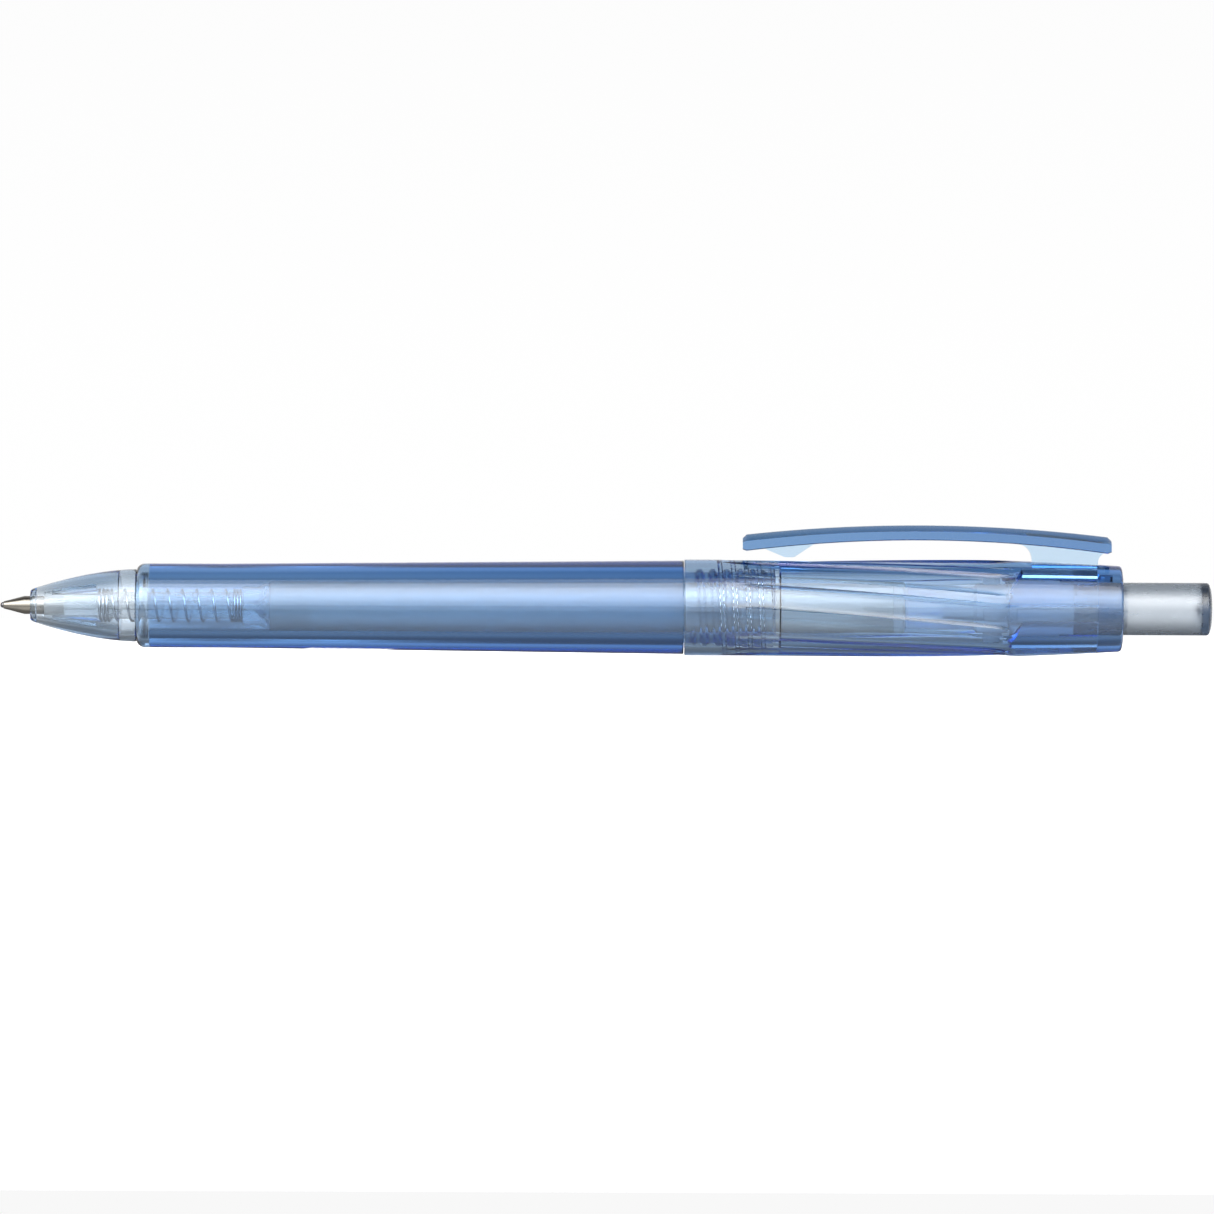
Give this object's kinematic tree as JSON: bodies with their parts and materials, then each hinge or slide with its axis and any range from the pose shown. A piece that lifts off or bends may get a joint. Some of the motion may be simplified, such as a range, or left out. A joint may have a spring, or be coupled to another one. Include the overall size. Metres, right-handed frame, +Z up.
{
  "type": "gel pen",
  "caption": "Retractable gel pen in clear pale-blue plastic, with a spring clip, a screw-apart barrel and a click mechanism that drives a spring-loaded refill.",
  "frame": {"origin": "middle of the pen's length and width, on the surface that the barrel lies on", "axes": "+X from the writing tip towards the push button, +Z up through the clip, +Y to the pen's other side"},
  "size_m": [0.148, 0.0118, 0.0161],
  "materials": {
    "barrel_plastic": "clear tinted, polished outside, faint haze inside",
    "nose_plastic": "clear, polished",
    "clip_plastic": "clear tinted, polished",
    "button_plastic": "clear tinted, polished",
    "cam_plastic": "clear, moulded",
    "holder_plastic": "clear, moulded",
    "tube_plastic": "milky, extruded",
    "gel_ink": "wet gel",
    "follower_grease": "clear grease",
    "point_metal": "turned and polished nickel silver",
    "spring_steel": "drawn wire",
    "ball_carbide": "ground and polished"
  },
  "bodies": {
    "rear_half": {"rear_barrel": "barrel_plastic", "clip_root": "clip_plastic"},
    "clip": {"clip_arm": "clip_plastic"},
    "button": {"push_button": "button_plastic", "cam_plunger": "cam_plastic"},
    "cam_rotor": {"rotor": "cam_plastic"},
    "spring": {"return_spring": "spring_steel"},
    "front_half": {"front_barrel": "barrel_plastic", "nose_cone": "nose_plastic"},
    "refill": {"point": "point_metal", "point_holder": "holder_plastic", "refill_tube": "tube_plastic", "ink": "gel_ink", "ink_follower": "follower_grease", "refill_plug": "tube_plastic", "ball_spring": "spring_steel"},
    "writing_ball": {"ball": "ball_carbide"}
  },
  "joints": [
    {"name": "clip_flex", "type": "hinge", "parent": "rear_half", "child": "clip", "pos_m": [0.05, 0, 0.0157], "axis": [0, 1, 0], "range_deg": [0, 6], "stiffness_Nm_per_rad": 1.8},
    {"name": "button_slide", "type": "slide", "parent": "rear_half", "child": "button", "axis": [1, 0, 0], "range_m": [-0.0008, 0.0046]},
    {"name": "rotor_turn", "type": "hinge", "parent": "button", "child": "cam_rotor", "pos_m": [0.047, 0, 0.00593], "axis": [1, 0, 0], "continuous": true},
    {"name": "front_turn", "type": "hinge", "parent": "spring", "child": "front_half", "pos_m": [0.0094, 0, 0.00593], "axis": [-1, 0, 0], "range_deg": [0, 2088]},
    {"name": "front_advance", "type": "slide", "parent": "rear_half", "child": "spring", "axis": [-1, 0, 0], "range_m": [0, 0.0093]},
    {"name": "refill_slide", "type": "slide", "parent": "spring", "child": "refill", "axis": [1, 0, 0], "range_m": [-0.0008, 0.0046], "deforming": ["return_spring"]},
    {"name": "ball_roll", "type": "hinge", "parent": "refill", "child": "writing_ball", "pos_m": [-0.07365, 0, 0.00593], "axis": [0, 1, 0], "continuous": true}
  ],
  "couplings": [
    {"joint": "refill_slide", "follows": "button_slide", "ratio": 1},
    {"joint": "front_advance", "follows": "front_turn", "m_per_rad": 0.00025465}
  ]
}
